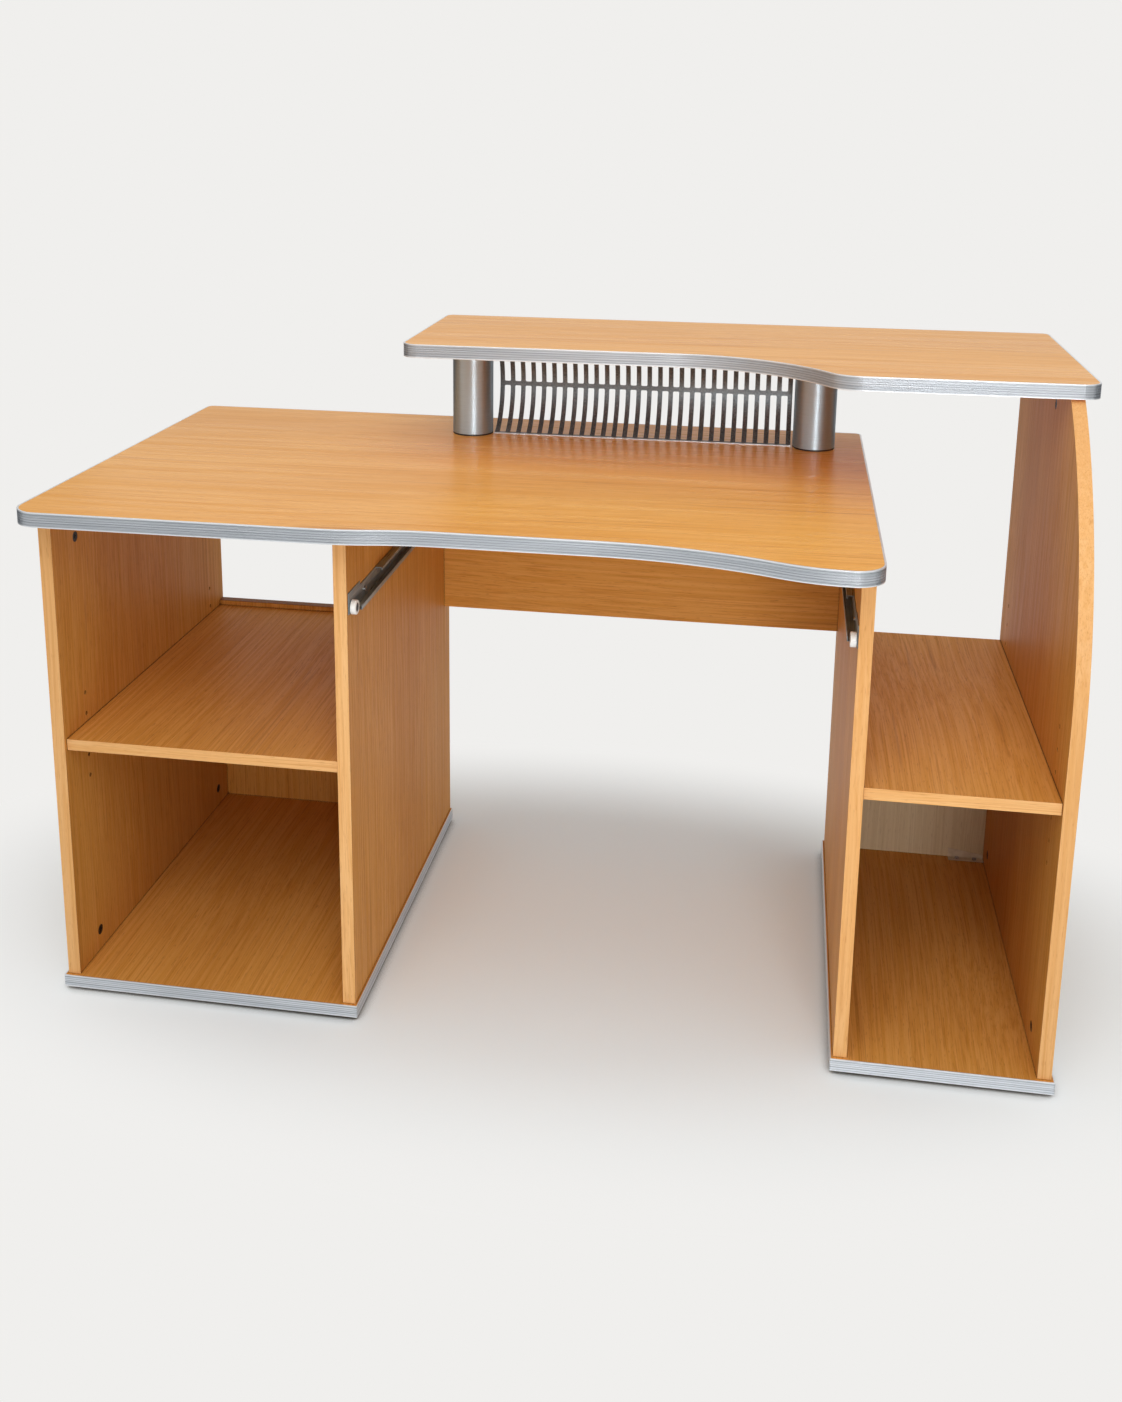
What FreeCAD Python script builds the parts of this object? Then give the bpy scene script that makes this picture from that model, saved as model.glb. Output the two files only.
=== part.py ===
import FreeCAD, Part
import math
import os
from FreeCAD import Vector

# A computer desk of laminated board: a curved worktop on two open pedestals, with a raised monitor shelf.
# Lengths are millimetres. X runs along the desk, Y to its back and Z up; the origin is on the floor,
# under the middle of the whole desk.

# Widths along the desk, from left to right
worktop_left_overhang = 4.0
left_bay_width = 396.0
kneehole_width = 662.0
right_bay_width = 245.0
worktop_right_overhang = 4.0
monitor_shelf_right_overhang = 21.0
monitor_shelf_width = 970.0

# Depths from the back edge of the worktop
worktop_left_depth = 709.0
worktop_scoop_depth = 694.0
worktop_right_depth = 756.0
monitor_shelf_left_depth = 320.0
monitor_shelf_right_depth = 450.0
panel_back_inset = 28.0

# How far the upright panels stand back from the worktop's left front edge
panel_front_setback = 72.0

# Heights above the floor
glide_height = 5.0
left_shelf_top = 388.0
right_shelf_top = 412.0
worktop_height = 740.0
post_height = 154.0

# Board thicknesses
board_thickness = 18.0
shelf_thickness = 16.0
back_panel_thickness = 16.0
worktop_thickness = 20.0
monitor_shelf_thickness = 20.0

# Edge bands: ribbed silver strips round the tops and bases, thin wood strips on the other front edges
top_band_thickness = 2.5
base_band_thickness = 1.5
rib_count = 8
rib_groove_depth = 0.6
rib_groove_width = 0.9
edging_thickness = 1.0

# Outlines of the worktop and the monitor shelf
worktop_front_radius = 38.0
worktop_back_radius = 12.0
monitor_front_radius = 24.0
monitor_back_radius = 12.0
worktop_step_shares = (0.37, 0.505)
worktop_step_first_share = 0.5
worktop_sweep_shares = (0.69, 0.965)
worktop_sweep_first_share = 0.72
monitor_sweep_shares = (0.43, 0.685)
monitor_sweep_first_share = 0.82

# Tall right panel: its front edge is upright, then an arc that leans back under the monitor shelf
tall_panel_arc_start = 500.0
tall_panel_shelf_setback = 10.0

# Pedestal bases and their glides
base_side_overhang = 4.0
base_front_overhang = 6.0
base_back_overhang = 2.0
glide_radius = 12.0
glide_inset = 40.0
glide_nail_radius = 1.5
glide_nail_length = 10.0

# Panels that close the backs
left_back_panel_rise = 9.0
right_back_panel_height = 350.0
back_bracket_length = 57.0
back_bracket_tall_end = 16.0
back_bracket_low_end = 8.0
back_bracket_foot = 13.0
back_bracket_sheet = 1.5
back_bracket_side_gap = 0.5
bracket_screw_shares = (0.25, 0.75)
modesty_panel_height = 300.0
modesty_panel_back_inset = 20.0

# Loose shelves and the pegs that carry them
shelf_side_gap = 0.5
shelf_back_gap = 1.0
shelf_front_inset = 6.0
right_shelf_back_inset = 5.0
peg_radius = 3.2
peg_shank_length = 8.0
peg_paddle_length = 9.0
peg_paddle_width = 8.0
peg_paddle_thickness = 3.0
peg_hole_depth = 11.0
peg_pitch = 32.0
left_peg_steps = 2
right_peg_steps = 3

# Cam locks, their bolts and the dowels that join the boards
fastener_front_inset = 70.0
fastener_back_inset = 60.0
cam_radius = 7.5
cam_depth = 12.5
cam_base_distance = 31.0
cam_worktop_distance = 54.0
cam_monitor_distance = 28.0
monitor_fastener_setback = 102.0
cam_recess = 0.3
cam_slot_length = 9.0
cam_slot_width = 1.8
cam_slot_depth = 1.6
cam_bolt_radius = 2.5
cam_bolt_head_radius = 3.4
cam_bolt_head_length = 5.0
cam_bolt_bite = 11.0
dowel_radius = 4.0
dowel_length = 30.0
dowel_bite = 12.0
dowel_offset = 32.0
dowel_end_inset = 55.0
hole_clearance = 0.1

# Posts under the monitor shelf
post_radius = 32.5
post_wall = 1.5
post_back_distance = 117.0
left_post_distance = 498.0
post_spacing = 544.0
cap_flange_thickness = 2.5
cap_plug_depth = 12.0
post_rod_radius = 3.0
post_rod_bite = 12.0
post_washer_radius = 9.0
post_washer_thickness = 1.5
post_nut_radius = 5.8
post_nut_height = 5.0
nut_sides = 6

# Curved cable grille between the posts
grille_post_gap = 3.0
grille_bow = 50.0
grille_sheet = 1.2
grille_slot_count = 27
grille_slot_width_share = 0.57
grille_slot_radius = 2.0
grille_middle_bar = 7.0
grille_bar_drop = 3.0
grille_margin = 3.5
grille_foot_margin = 2.0
grille_foot_flange = 4.0
grille_head_flange = 16.0
grille_screw_count = 3
grille_screw_end_inset = 60.0

# Runners for a keyboard tray: a folded channel with a roller at its front end
runner_drop = 95.0
runner_front_inset = 5.0
runner_length = 400.0
runner_height = 25.0
runner_depth = 12.5
runner_top_depth = 10.5
runner_sheet = 1.2
runner_low_lip = 6.5
runner_high_lip = 4.5
runner_open_length = 135.0
runner_plate_length = 56.0
runner_plate_rise = 5.0
roller_radius = 10.0
roller_width = 8.0
roller_setback = 13.0
roller_rise = 7.5
roller_edge_radius = 1.2
roller_side_gap = 0.3
roller_pin_radius = 3.5
roller_pin_clearance = 0.05
roller_head_radius = 6.0
roller_head_thickness = 0.8
roller_head_recess = 1.2
roller_floor_gap = 2.0
runner_screw_shares = (0.19, 0.52, 0.86)

# Small screws
screw_radius = 1.75
screw_length = 13.0
screw_head_radius = 3.6
screw_head_height = 2.0
screw_slot_width = 0.9
screw_slot_depth = 0.9

# How far cuts run past the faces that they open
overrun = 5.0

# Places worked out from the sizes above
panel_count = 4
desk_width = (worktop_left_overhang + left_bay_width + kneehole_width + right_bay_width
              + panel_count * board_thickness + monitor_shelf_right_overhang)
desk_depth = max(worktop_left_depth, worktop_right_depth)
left_end = -desk_width / 2
back_edge = desk_depth / 2

left_outer_x = left_end + worktop_left_overhang
left_inner_x = left_outer_x + board_thickness + left_bay_width
right_inner_x = left_inner_x + board_thickness + kneehole_width
tall_x = right_inner_x + board_thickness + right_bay_width
worktop_width = right_inner_x + board_thickness + worktop_right_overhang - left_end

panel_back = back_edge - panel_back_inset
panel_front = back_edge - worktop_left_depth + panel_front_setback
base_top = glide_height + board_thickness
worktop_under = worktop_height - worktop_thickness
monitor_under = worktop_height + post_height
monitor_left = desk_width / 2 - monitor_shelf_width
tall_panel_top_front = back_edge - monitor_shelf_right_depth + tall_panel_shelf_setback
tall_panel_lean = tall_panel_top_front - panel_front
post_y = back_edge - post_back_distance

nodes = {}
bores = {}
cam_locks = []
cam_bolts = []
wood_dowels = []


def block(low, high):
    return Part.makeBox(high.x - low.x, high.y - low.y, high.z - low.z, low)


def drill(name, cutter):
    bores.setdefault(name, []).append(cutter)


def drilled(name, solid):
    nodes[name] = solid.cut(bores[name]) if name in bores else solid


def corner(center, radius, first_degrees):
    """Quarter-circle edge round a center, turning counter-clockwise from a direction."""
    points = []
    for degrees in (first_degrees, first_degrees + 45, first_degrees + 90):
        angle = math.radians(degrees)
        points.append(center + Vector(radius * math.cos(angle), radius * math.sin(angle), 0))
    return Part.Arc(*points).toShape()


def sweep(start, end, first_share):
    """Two tangent arcs that carry a straight front edge over to another depth."""
    run = end.x - start.x
    step = end.y - start.y
    radius_sum = (run * run + step * step) / (2 * abs(step))
    angle = math.asin(run / radius_sum)
    side = math.copysign(1, step)
    first_radius = first_share * radius_sum
    edges = []
    for point, radius, way in ((start, first_radius, 1), (end, radius_sum - first_radius, -1)):
        center = point + Vector(0, side * way * radius, 0)
        arc = [center + Vector(way * radius * math.sin(turn), -side * way * radius * math.cos(turn), 0)
               for turn in (0, angle / 2, angle)]
        edges.append(Part.Arc(*arc).toShape())
    return edges


def top_outline(left, width, left_depth, sweeps, front_radius, back_radius):
    """Flat face of a top: straight back and sides, round corners and a front edge with sweeps."""
    right = left + width
    depth = left_depth
    place = Vector(left + front_radius, back_edge - depth, 0)
    edges = [
        Part.makeLine(Vector(left, back_edge - back_radius, 0), Vector(left, place.y + front_radius, 0)),
        corner(place + Vector(0, front_radius, 0), front_radius, 180),
    ]
    for shares, next_depth, first_share in sweeps:
        start = Vector(left + shares[0] * width, back_edge - depth, 0)
        end = Vector(left + shares[1] * width, back_edge - next_depth, 0)
        edges.append(Part.makeLine(place, start))
        edges.extend(sweep(start, end, first_share))
        depth = next_depth
        place = end
    front_end = Vector(right - front_radius, back_edge - depth, 0)
    rear_y = back_edge - back_radius
    edges += [
        Part.makeLine(place, front_end),
        corner(front_end + Vector(0, front_radius, 0), front_radius, 270),
        Part.makeLine(Vector(right, front_end.y + front_radius, 0), Vector(right, rear_y, 0)),
        corner(Vector(right - back_radius, rear_y, 0), back_radius, 0),
        Part.makeLine(Vector(right - back_radius, back_edge, 0), Vector(left + back_radius, back_edge, 0)),
        corner(Vector(left + back_radius, rear_y, 0), back_radius, 90),
    ]
    return Part.Face(Part.Wire(Part.__sortEdges__(edges)))


def rib_heights(low, thickness):
    pitch = thickness / rib_count
    return [low + pitch * step - rib_groove_width / 2 for step in range(1, rib_count)]


def banded_top(name, outline, low, thickness):
    """A board with a ribbed band glued all the way round its edge."""
    core = outline.makeOffset2D(-top_band_thickness)
    groove = outline.cut(outline.makeOffset2D(-rib_groove_depth))
    band = outline.cut(core).extrude(Vector(0, 0, thickness))
    band.translate(Vector(0, 0, low))
    grooves = []
    for height in rib_heights(low, thickness):
        ring = groove.extrude(Vector(0, 0, rib_groove_width))
        ring.translate(Vector(0, 0, height))
        grooves.append(ring)
    board = core.extrude(Vector(0, 0, thickness))
    board.translate(Vector(0, 0, low))
    drilled(name + "_board", board)
    nodes[name + "_edge_band"] = band.cut(grooves)


def cam_lock(center, facing, upward):
    """Round cam with a cross slot in its face and a mouth for the head of its bolt."""
    face = center + Vector(-facing * cam_recess, 0, 0)
    cam = Part.makeCylinder(cam_radius, cam_depth, face, Vector(-facing, 0, 0))
    mouth = center + Vector(-facing * board_thickness / 2, 0, -upward * cam_bolt_head_length / 2)
    cuts = [Part.makeCylinder(cam_bolt_head_radius + hole_clearance, cam_radius + overrun, mouth,
                              Vector(0, 0, upward))]
    for length, width in ((cam_slot_length, cam_slot_width), (cam_slot_width, cam_slot_length)):
        half = Vector(cam_slot_depth, length / 2, width / 2)
        cuts.append(block(face - half, face + half))
    return cam.cut(cuts)


def join_panel_end(panel, panel_x, facing, y, end, upward, distance, board):
    """Cam, bolt and dowel where an upright panel meets the flat board above or below it."""
    face_x = panel_x + (board_thickness if facing > 0 else 0)
    middle_x = panel_x + board_thickness / 2
    center = Vector(face_x, y, end - upward * distance)
    along = Vector(0, 0, upward)
    pocket_start = center + Vector(facing * overrun, 0, 0)
    drill(panel, Part.makeCylinder(cam_radius + hole_clearance, cam_depth + cam_recess + overrun,
                                   pocket_start, Vector(-facing, 0, 0)))
    cam_locks.append(cam_lock(center, facing, upward))

    foot = Vector(middle_x, y, center.z) - along * (cam_bolt_head_length / 2)
    length = distance + cam_bolt_head_length / 2 + cam_bolt_bite
    head = Part.makeCylinder(cam_bolt_head_radius, cam_bolt_head_length, foot, along)
    cam_bolts.append(head.fuse(Part.makeCylinder(cam_bolt_radius, length, foot, along)).removeSplitter())
    wide = cam_bolt_head_radius + hole_clearance
    drill(panel, Part.makeCylinder(wide, distance + overrun, Vector(middle_x, y, center.z), along))
    drill(board, Part.makeCylinder(cam_bolt_radius + hole_clearance, length + hole_clearance, foot, along))

    inward = dowel_offset if y < (panel_front + panel_back) / 2 else -dowel_offset
    dowel_foot = Vector(middle_x, y + inward, end) - along * (dowel_length - dowel_bite)
    add_dowel(dowel_foot, along, (panel, board))


def add_dowel(foot, along, boards):
    wood_dowels.append(Part.makeCylinder(dowel_radius, dowel_length, foot, along))
    for name in boards:
        drill(name, Part.makeCylinder(dowel_radius + hole_clearance, dowel_length + 2 * hole_clearance,
                                      foot - along * hole_clearance, along))


def join_cross_panel(name, y, low, high, left_panel, left_face, right_panel, right_face):
    """Dowels at both ends of a board that stands between two upright panels."""
    for height in (low + dowel_end_inset, high - dowel_end_inset):
        add_dowel(Vector(left_face - dowel_bite, y, height), Vector(1, 0, 0), (name, left_panel))
        add_dowel(Vector(right_face + dowel_bite, y, height), Vector(-1, 0, 0), (name, right_panel))


def peg_rows(shelf_top, steps):
    level = shelf_top - shelf_thickness - peg_radius
    return [level + peg_pitch * step for step in range(-steps, steps + 1)]


def drill_peg_holes(panel, face_x, facing, shelf_top, steps):
    for y in (fastener_front, fastener_back):
        for height in peg_rows(shelf_top, steps):
            start = Vector(face_x + facing * overrun, y, height)
            into = Vector(-facing, 0, 0)
            drill(panel, Part.makeCylinder(peg_radius, peg_hole_depth + overrun, start, into))


def tall_slab(trim):
    """Tall panel with its whole front edge moved back by a trim."""
    rise = monitor_under - tall_panel_arc_start
    radius = (rise ** 2 + tall_panel_lean ** 2) / (2 * tall_panel_lean)
    center = Vector(tall_x, panel_front + radius, tall_panel_arc_start)
    top_angle = math.asin(rise / (radius - trim))
    arc = [center + Vector(0, -(radius - trim) * math.cos(turn), (radius - trim) * math.sin(turn))
           for turn in (0, top_angle / 2, top_angle)]
    foot = Vector(tall_x, panel_front + trim, base_top)
    heel = Vector(tall_x, panel_back, base_top)
    head = Vector(tall_x, panel_back, monitor_under)
    edges = [Part.makeLine(foot, arc[0]), Part.Arc(*arc).toShape(), Part.makeLine(arc[2], head),
             Part.makeLine(head, heel), Part.makeLine(heel, foot)]
    return Part.Face(Part.Wire(edges)).extrude(Vector(board_thickness, 0, 0))


def straight_slab(x, trim):
    low = Vector(x, panel_front + trim, base_top)
    return block(low, Vector(x + board_thickness, panel_back, worktop_under))


def pan_screw(seat, into):
    """Small slotted screw whose head sits on a face and whose shank goes into the board."""
    shank = Part.makeCylinder(screw_radius, screw_length, seat, into)
    crown = seat - into * screw_head_height
    head = Part.makeCylinder(screw_head_radius, screw_head_height, crown, into)
    deep = Vector(abs(into.x), 0, abs(into.z)) * screw_slot_depth
    long = Vector(abs(into.z), 0, abs(into.x)) * screw_head_radius
    half = deep + long + Vector(0, screw_slot_width / 2, 0)
    return head.fuse(shank).removeSplitter().cut(block(crown - half, crown + half))


# Joints between the upright panels and the flat boards
fastener_front = panel_front + fastener_front_inset
fastener_back = panel_back - fastener_back_inset
uprights = (
    ("left_outer_panel", left_outer_x, 1, "left_base_board"),
    ("left_inner_panel", left_inner_x, -1, "left_base_board"),
    ("right_inner_panel", right_inner_x, 1, "right_base_board"),
    ("right_tall_panel", tall_x, -1, "right_base_board"),
)
for panel, x, facing, base in uprights:
    for y in (fastener_front, fastener_back):
        join_panel_end(panel, x, facing, y, base_top, -1, cam_base_distance, base)
for panel, x, facing, base in uprights[:-1]:
    for y in (fastener_front, fastener_back):
        join_panel_end(panel, x, facing, y, worktop_under, 1, cam_worktop_distance, "worktop_board")
for y in (tall_panel_top_front + monitor_fastener_setback, fastener_back):
    join_panel_end("right_tall_panel", tall_x, -1, y, monitor_under, 1, cam_monitor_distance,
                   "monitor_shelf_board")

drill_peg_holes("left_outer_panel", left_outer_x + board_thickness, 1, left_shelf_top, left_peg_steps)
drill_peg_holes("left_inner_panel", left_inner_x, -1, left_shelf_top, left_peg_steps)
drill_peg_holes("right_inner_panel", right_inner_x + board_thickness, 1, right_shelf_top, right_peg_steps)
drill_peg_holes("right_tall_panel", tall_x, -1, right_shelf_top, right_peg_steps)

# Back panels and the modesty panel, which stand between the uprights
left_back_top = left_shelf_top + left_back_panel_rise
back_panel_front = panel_back - back_panel_thickness
join_cross_panel("left_back_panel", panel_back - back_panel_thickness / 2, base_top, left_back_top,
                 "left_outer_panel", left_outer_x + board_thickness, "left_inner_panel", left_inner_x)
left_back = block(Vector(left_outer_x + board_thickness, back_panel_front, base_top),
                  Vector(left_inner_x, panel_back, left_back_top))
drilled("left_back_panel", left_back)

right_back_top = base_top + right_back_panel_height
join_cross_panel("right_back_panel", panel_back - back_panel_thickness / 2, base_top, right_back_top,
                 "right_inner_panel", right_inner_x + board_thickness, "right_tall_panel", tall_x)
right_back = block(Vector(right_inner_x + board_thickness, back_panel_front, base_top),
                   Vector(tall_x, panel_back, right_back_top))
drilled("right_back_panel", right_back)

# Steel angle bracket that holds the right back panel to its base, with an upright leg that tapers
bracket_right = tall_x - back_bracket_side_gap
bracket_left = bracket_right - back_bracket_length
leg_front = back_panel_front - back_bracket_sheet
leg_corners = [Vector(x, leg_front, base_top + height) for x, height in (
    (bracket_left, 0), (bracket_right, 0), (bracket_right, back_bracket_low_end),
    (bracket_left, back_bracket_tall_end), (bracket_left, 0))]
leg = Part.Face(Part.makePolygon(leg_corners)).extrude(Vector(0, back_bracket_sheet, 0))
foot = block(Vector(bracket_left, back_panel_front - back_bracket_foot, base_top),
             Vector(bracket_right, back_panel_front, base_top + back_bracket_sheet))
bracket_screws = []
for share in bracket_screw_shares:
    seat = Vector(bracket_left + share * back_bracket_length,
                  leg_front - (back_bracket_foot - back_bracket_sheet) / 2, base_top + back_bracket_sheet)
    bracket_screws.append(pan_screw(seat, Vector(0, 0, -1)))
    shank_hole = Part.makeCylinder(screw_radius + hole_clearance, screw_length + hole_clearance, seat,
                                   Vector(0, 0, -1))
    drill("back_bracket", shank_hole)
    drill("right_base_board", shank_hole)
drilled("back_bracket", leg.fuse(foot).removeSplitter())
nodes["bracket_screws"] = Part.makeCompound(bracket_screws)

modesty_back = panel_back - modesty_panel_back_inset
modesty_low = worktop_under - modesty_panel_height
join_cross_panel("modesty_panel", modesty_back - board_thickness / 2, modesty_low, worktop_under,
                 "left_inner_panel", left_inner_x + board_thickness, "right_inner_panel", right_inner_x)
modesty = block(Vector(left_inner_x + board_thickness, modesty_back - board_thickness, modesty_low),
                Vector(right_inner_x, modesty_back, worktop_under))
drilled("modesty_panel", modesty)

# Pedestal bases: a board with a ribbed band on its front and sides, standing on round glides
for side, low_x, high_x in (("left", left_outer_x, left_inner_x), ("right", right_inner_x, tall_x)):
    low = Vector(low_x - base_side_overhang, panel_front - base_front_overhang, glide_height)
    high = Vector(high_x + board_thickness + base_side_overhang, panel_back + base_back_overhang, base_top)
    wrap = Vector(base_band_thickness, base_band_thickness, 0)
    core = block(low + wrap, high - Vector(base_band_thickness, 0, 0))
    band = block(low, high).cut(core)
    reach = Vector(rib_groove_depth, rib_groove_depth, 0)
    grooves = []
    for height in rib_heights(glide_height, board_thickness):
        lift = Vector(0, 0, height - glide_height)
        rim_top = Vector(0, 0, height + rib_groove_width - base_top)
        rim = block(low + lift, high + rim_top)
        grooves.append(rim.cut(block(low + lift + reach, high + rim_top - Vector(rib_groove_depth, 0, 0))))
    nodes[side + "_base_edge_band"] = band.cut(grooves)

    glides = []
    for x in (low.x + glide_inset, high.x - glide_inset):
        for y in (low.y + glide_inset, high.y - glide_inset):
            pad = Part.makeCylinder(glide_radius, glide_height, Vector(x, y, 0))
            nail = Part.makeCylinder(glide_nail_radius, glide_height + glide_nail_length, Vector(x, y, 0))
            glides.append(pad.fuse(nail).removeSplitter())
            drill(side + "_base_board", Part.makeCylinder(glide_nail_radius + hole_clearance,
                                                          glide_nail_length + glide_height + hole_clearance,
                                                          Vector(x, y, 0)))
    nodes[side + "_base_glides"] = Part.makeCompound(glides)
    drilled(side + "_base_board", core)

# Posts: a tube between two plastic caps, drawn together by a threaded rod
for side, distance in (("left", left_post_distance), ("right", left_post_distance + post_spacing)):
    foot = Vector(left_end + distance, post_y, worktop_height)
    tube_foot = foot + Vector(0, 0, cap_flange_thickness)
    tube_height = post_height - 2 * cap_flange_thickness
    tube = Part.makeCylinder(post_radius, tube_height, tube_foot)
    nodes[side + "_post_tube"] = tube.cut(Part.makeCylinder(post_radius - post_wall, tube_height, tube_foot))
    rod_hole = post_rod_radius + hole_clearance
    for end, base, way in (("foot", foot, 1), ("top", foot + Vector(0, 0, post_height), -1)):
        up = Vector(0, 0, way)
        cap_height = cap_flange_thickness + cap_plug_depth
        flange = Part.makeCylinder(post_radius, cap_flange_thickness, base, up)
        plug = Part.makeCylinder(post_radius - post_wall - hole_clearance, cap_height, base, up)
        bore = Part.makeCylinder(rod_hole, cap_height + overrun, base, up)
        nodes[side + "_post_" + end + "_cap"] = flange.fuse(plug).removeSplitter().cut(bore)
    washer_top = foot - Vector(0, 0, worktop_thickness)
    fitting_height = post_washer_thickness + post_nut_height
    rod_foot = washer_top - Vector(0, 0, fitting_height)
    rod_length = fitting_height + worktop_thickness + post_height + post_rod_bite
    rod = Part.makeCylinder(post_rod_radius, rod_length, rod_foot)
    nodes[side + "_post_rod"] = rod
    corners = []
    for step in range(nut_sides + 1):
        turn = 2 * math.pi * step / nut_sides
        corners.append(rod_foot + Vector(math.cos(turn), math.sin(turn), 0) * post_nut_radius)
    nut = Part.Face(Part.makePolygon(corners)).extrude(Vector(0, 0, post_nut_height))
    washer = Part.makeCylinder(post_washer_radius, post_washer_thickness, washer_top, Vector(0, 0, -1))
    bore = Part.makeCylinder(rod_hole, rod_length, rod_foot)
    nodes[side + "_post_nut"] = nut.fuse(washer).removeSplitter().cut(bore)
    drill("worktop_board", bore)
    drill("monitor_shelf_board", Part.makeCylinder(rod_hole, rod_length + hole_clearance, rod_foot))

# Cable grille: a bowed sheet with two rows of slots, screwed under the monitor shelf
grille_left = left_end + left_post_distance + post_radius + grille_post_gap
grille_length = post_spacing - 2 * (post_radius + grille_post_gap)
grille_middle = worktop_height + post_height / 2
half_height = post_height / 2
grille_radius = (half_height ** 2 + grille_bow ** 2) / (2 * grille_bow)
grille_center = Vector(grille_left, post_y + grille_bow - grille_radius, grille_middle)


def grille_arc(radius, way):
    reach = math.asin(half_height / radius)
    points = [grille_center + Vector(0, radius * math.cos(turn), way * radius * math.sin(turn))
              for turn in (-reach, 0, reach)]
    return Part.Arc(*points).toShape()


back_arc = grille_arc(grille_radius, 1)
front_arc = grille_arc(grille_radius - grille_sheet, -1)
back_ends = [vertex.Point for vertex in back_arc.Vertexes]
front_ends = [vertex.Point for vertex in front_arc.Vertexes]
sheet_edges = [back_arc, Part.makeLine(back_ends[1], front_ends[0]), front_arc,
               Part.makeLine(front_ends[1], back_ends[0])]
sheet = Part.Face(Part.Wire(sheet_edges))
foot_flange = block(Vector(grille_left, post_y - grille_foot_flange, worktop_height),
                    Vector(grille_left + grille_length, post_y, worktop_height + grille_sheet))
head_flange = block(Vector(grille_left, post_y - grille_head_flange, monitor_under - grille_sheet),
                    Vector(grille_left + grille_length, post_y, monitor_under))
slot_pitch = grille_length / (grille_slot_count + 1 - grille_slot_width_share)
slot_width = slot_pitch * grille_slot_width_share
bar_level = grille_middle - grille_bar_drop
slot_rows = ((worktop_height + grille_foot_margin, bar_level - grille_middle_bar / 2),
             (bar_level + grille_middle_bar / 2, monitor_under - grille_margin))
bar_half = (slot_pitch - slot_width) / 2
slot_left = grille_left + bar_half
cell = sheet.extrude(Vector(slot_pitch, 0, 0))
for low, high in slot_rows:
    slot = block(Vector(slot_left, post_y - overrun, low),
                 Vector(slot_left + slot_width, post_y + grille_bow + overrun, high))
    through = [edge for edge in slot.Edges if abs(edge.tangentAt(0).y) > 0.5]
    rounded = [edge for edge in through if abs(edge.CenterOfMass.z - bar_level) < grille_middle_bar]
    cell = cell.cut(slot.makeFillet(grille_slot_radius, rounded))
end_strip = sheet.extrude(Vector(bar_half, 0, 0))
pieces = [foot_flange, head_flange, end_strip.translated(Vector(grille_length - bar_half, 0, 0))]
for step in range(grille_slot_count):
    pieces.append(cell.translated(Vector(bar_half + step * slot_pitch, 0, 0)))
grille = end_strip.fuse(pieces)
grille_screws = []
screw_run = grille_length - 2 * grille_screw_end_inset
for step in range(grille_screw_count):
    x = grille_left + grille_screw_end_inset + screw_run * step / (grille_screw_count - 1)
    seat = Vector(x, post_y - grille_head_flange / 2, monitor_under - grille_sheet)
    grille_screws.append(pan_screw(seat, Vector(0, 0, 1)))
    shank_hole = Part.makeCylinder(screw_radius + hole_clearance, screw_length + hole_clearance, seat)
    drill("cable_grille", shank_hole)
    drill("monitor_shelf_board", shank_hole)
drilled("cable_grille", grille)
nodes["grille_screws"] = Part.makeCompound(grille_screws)

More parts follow.
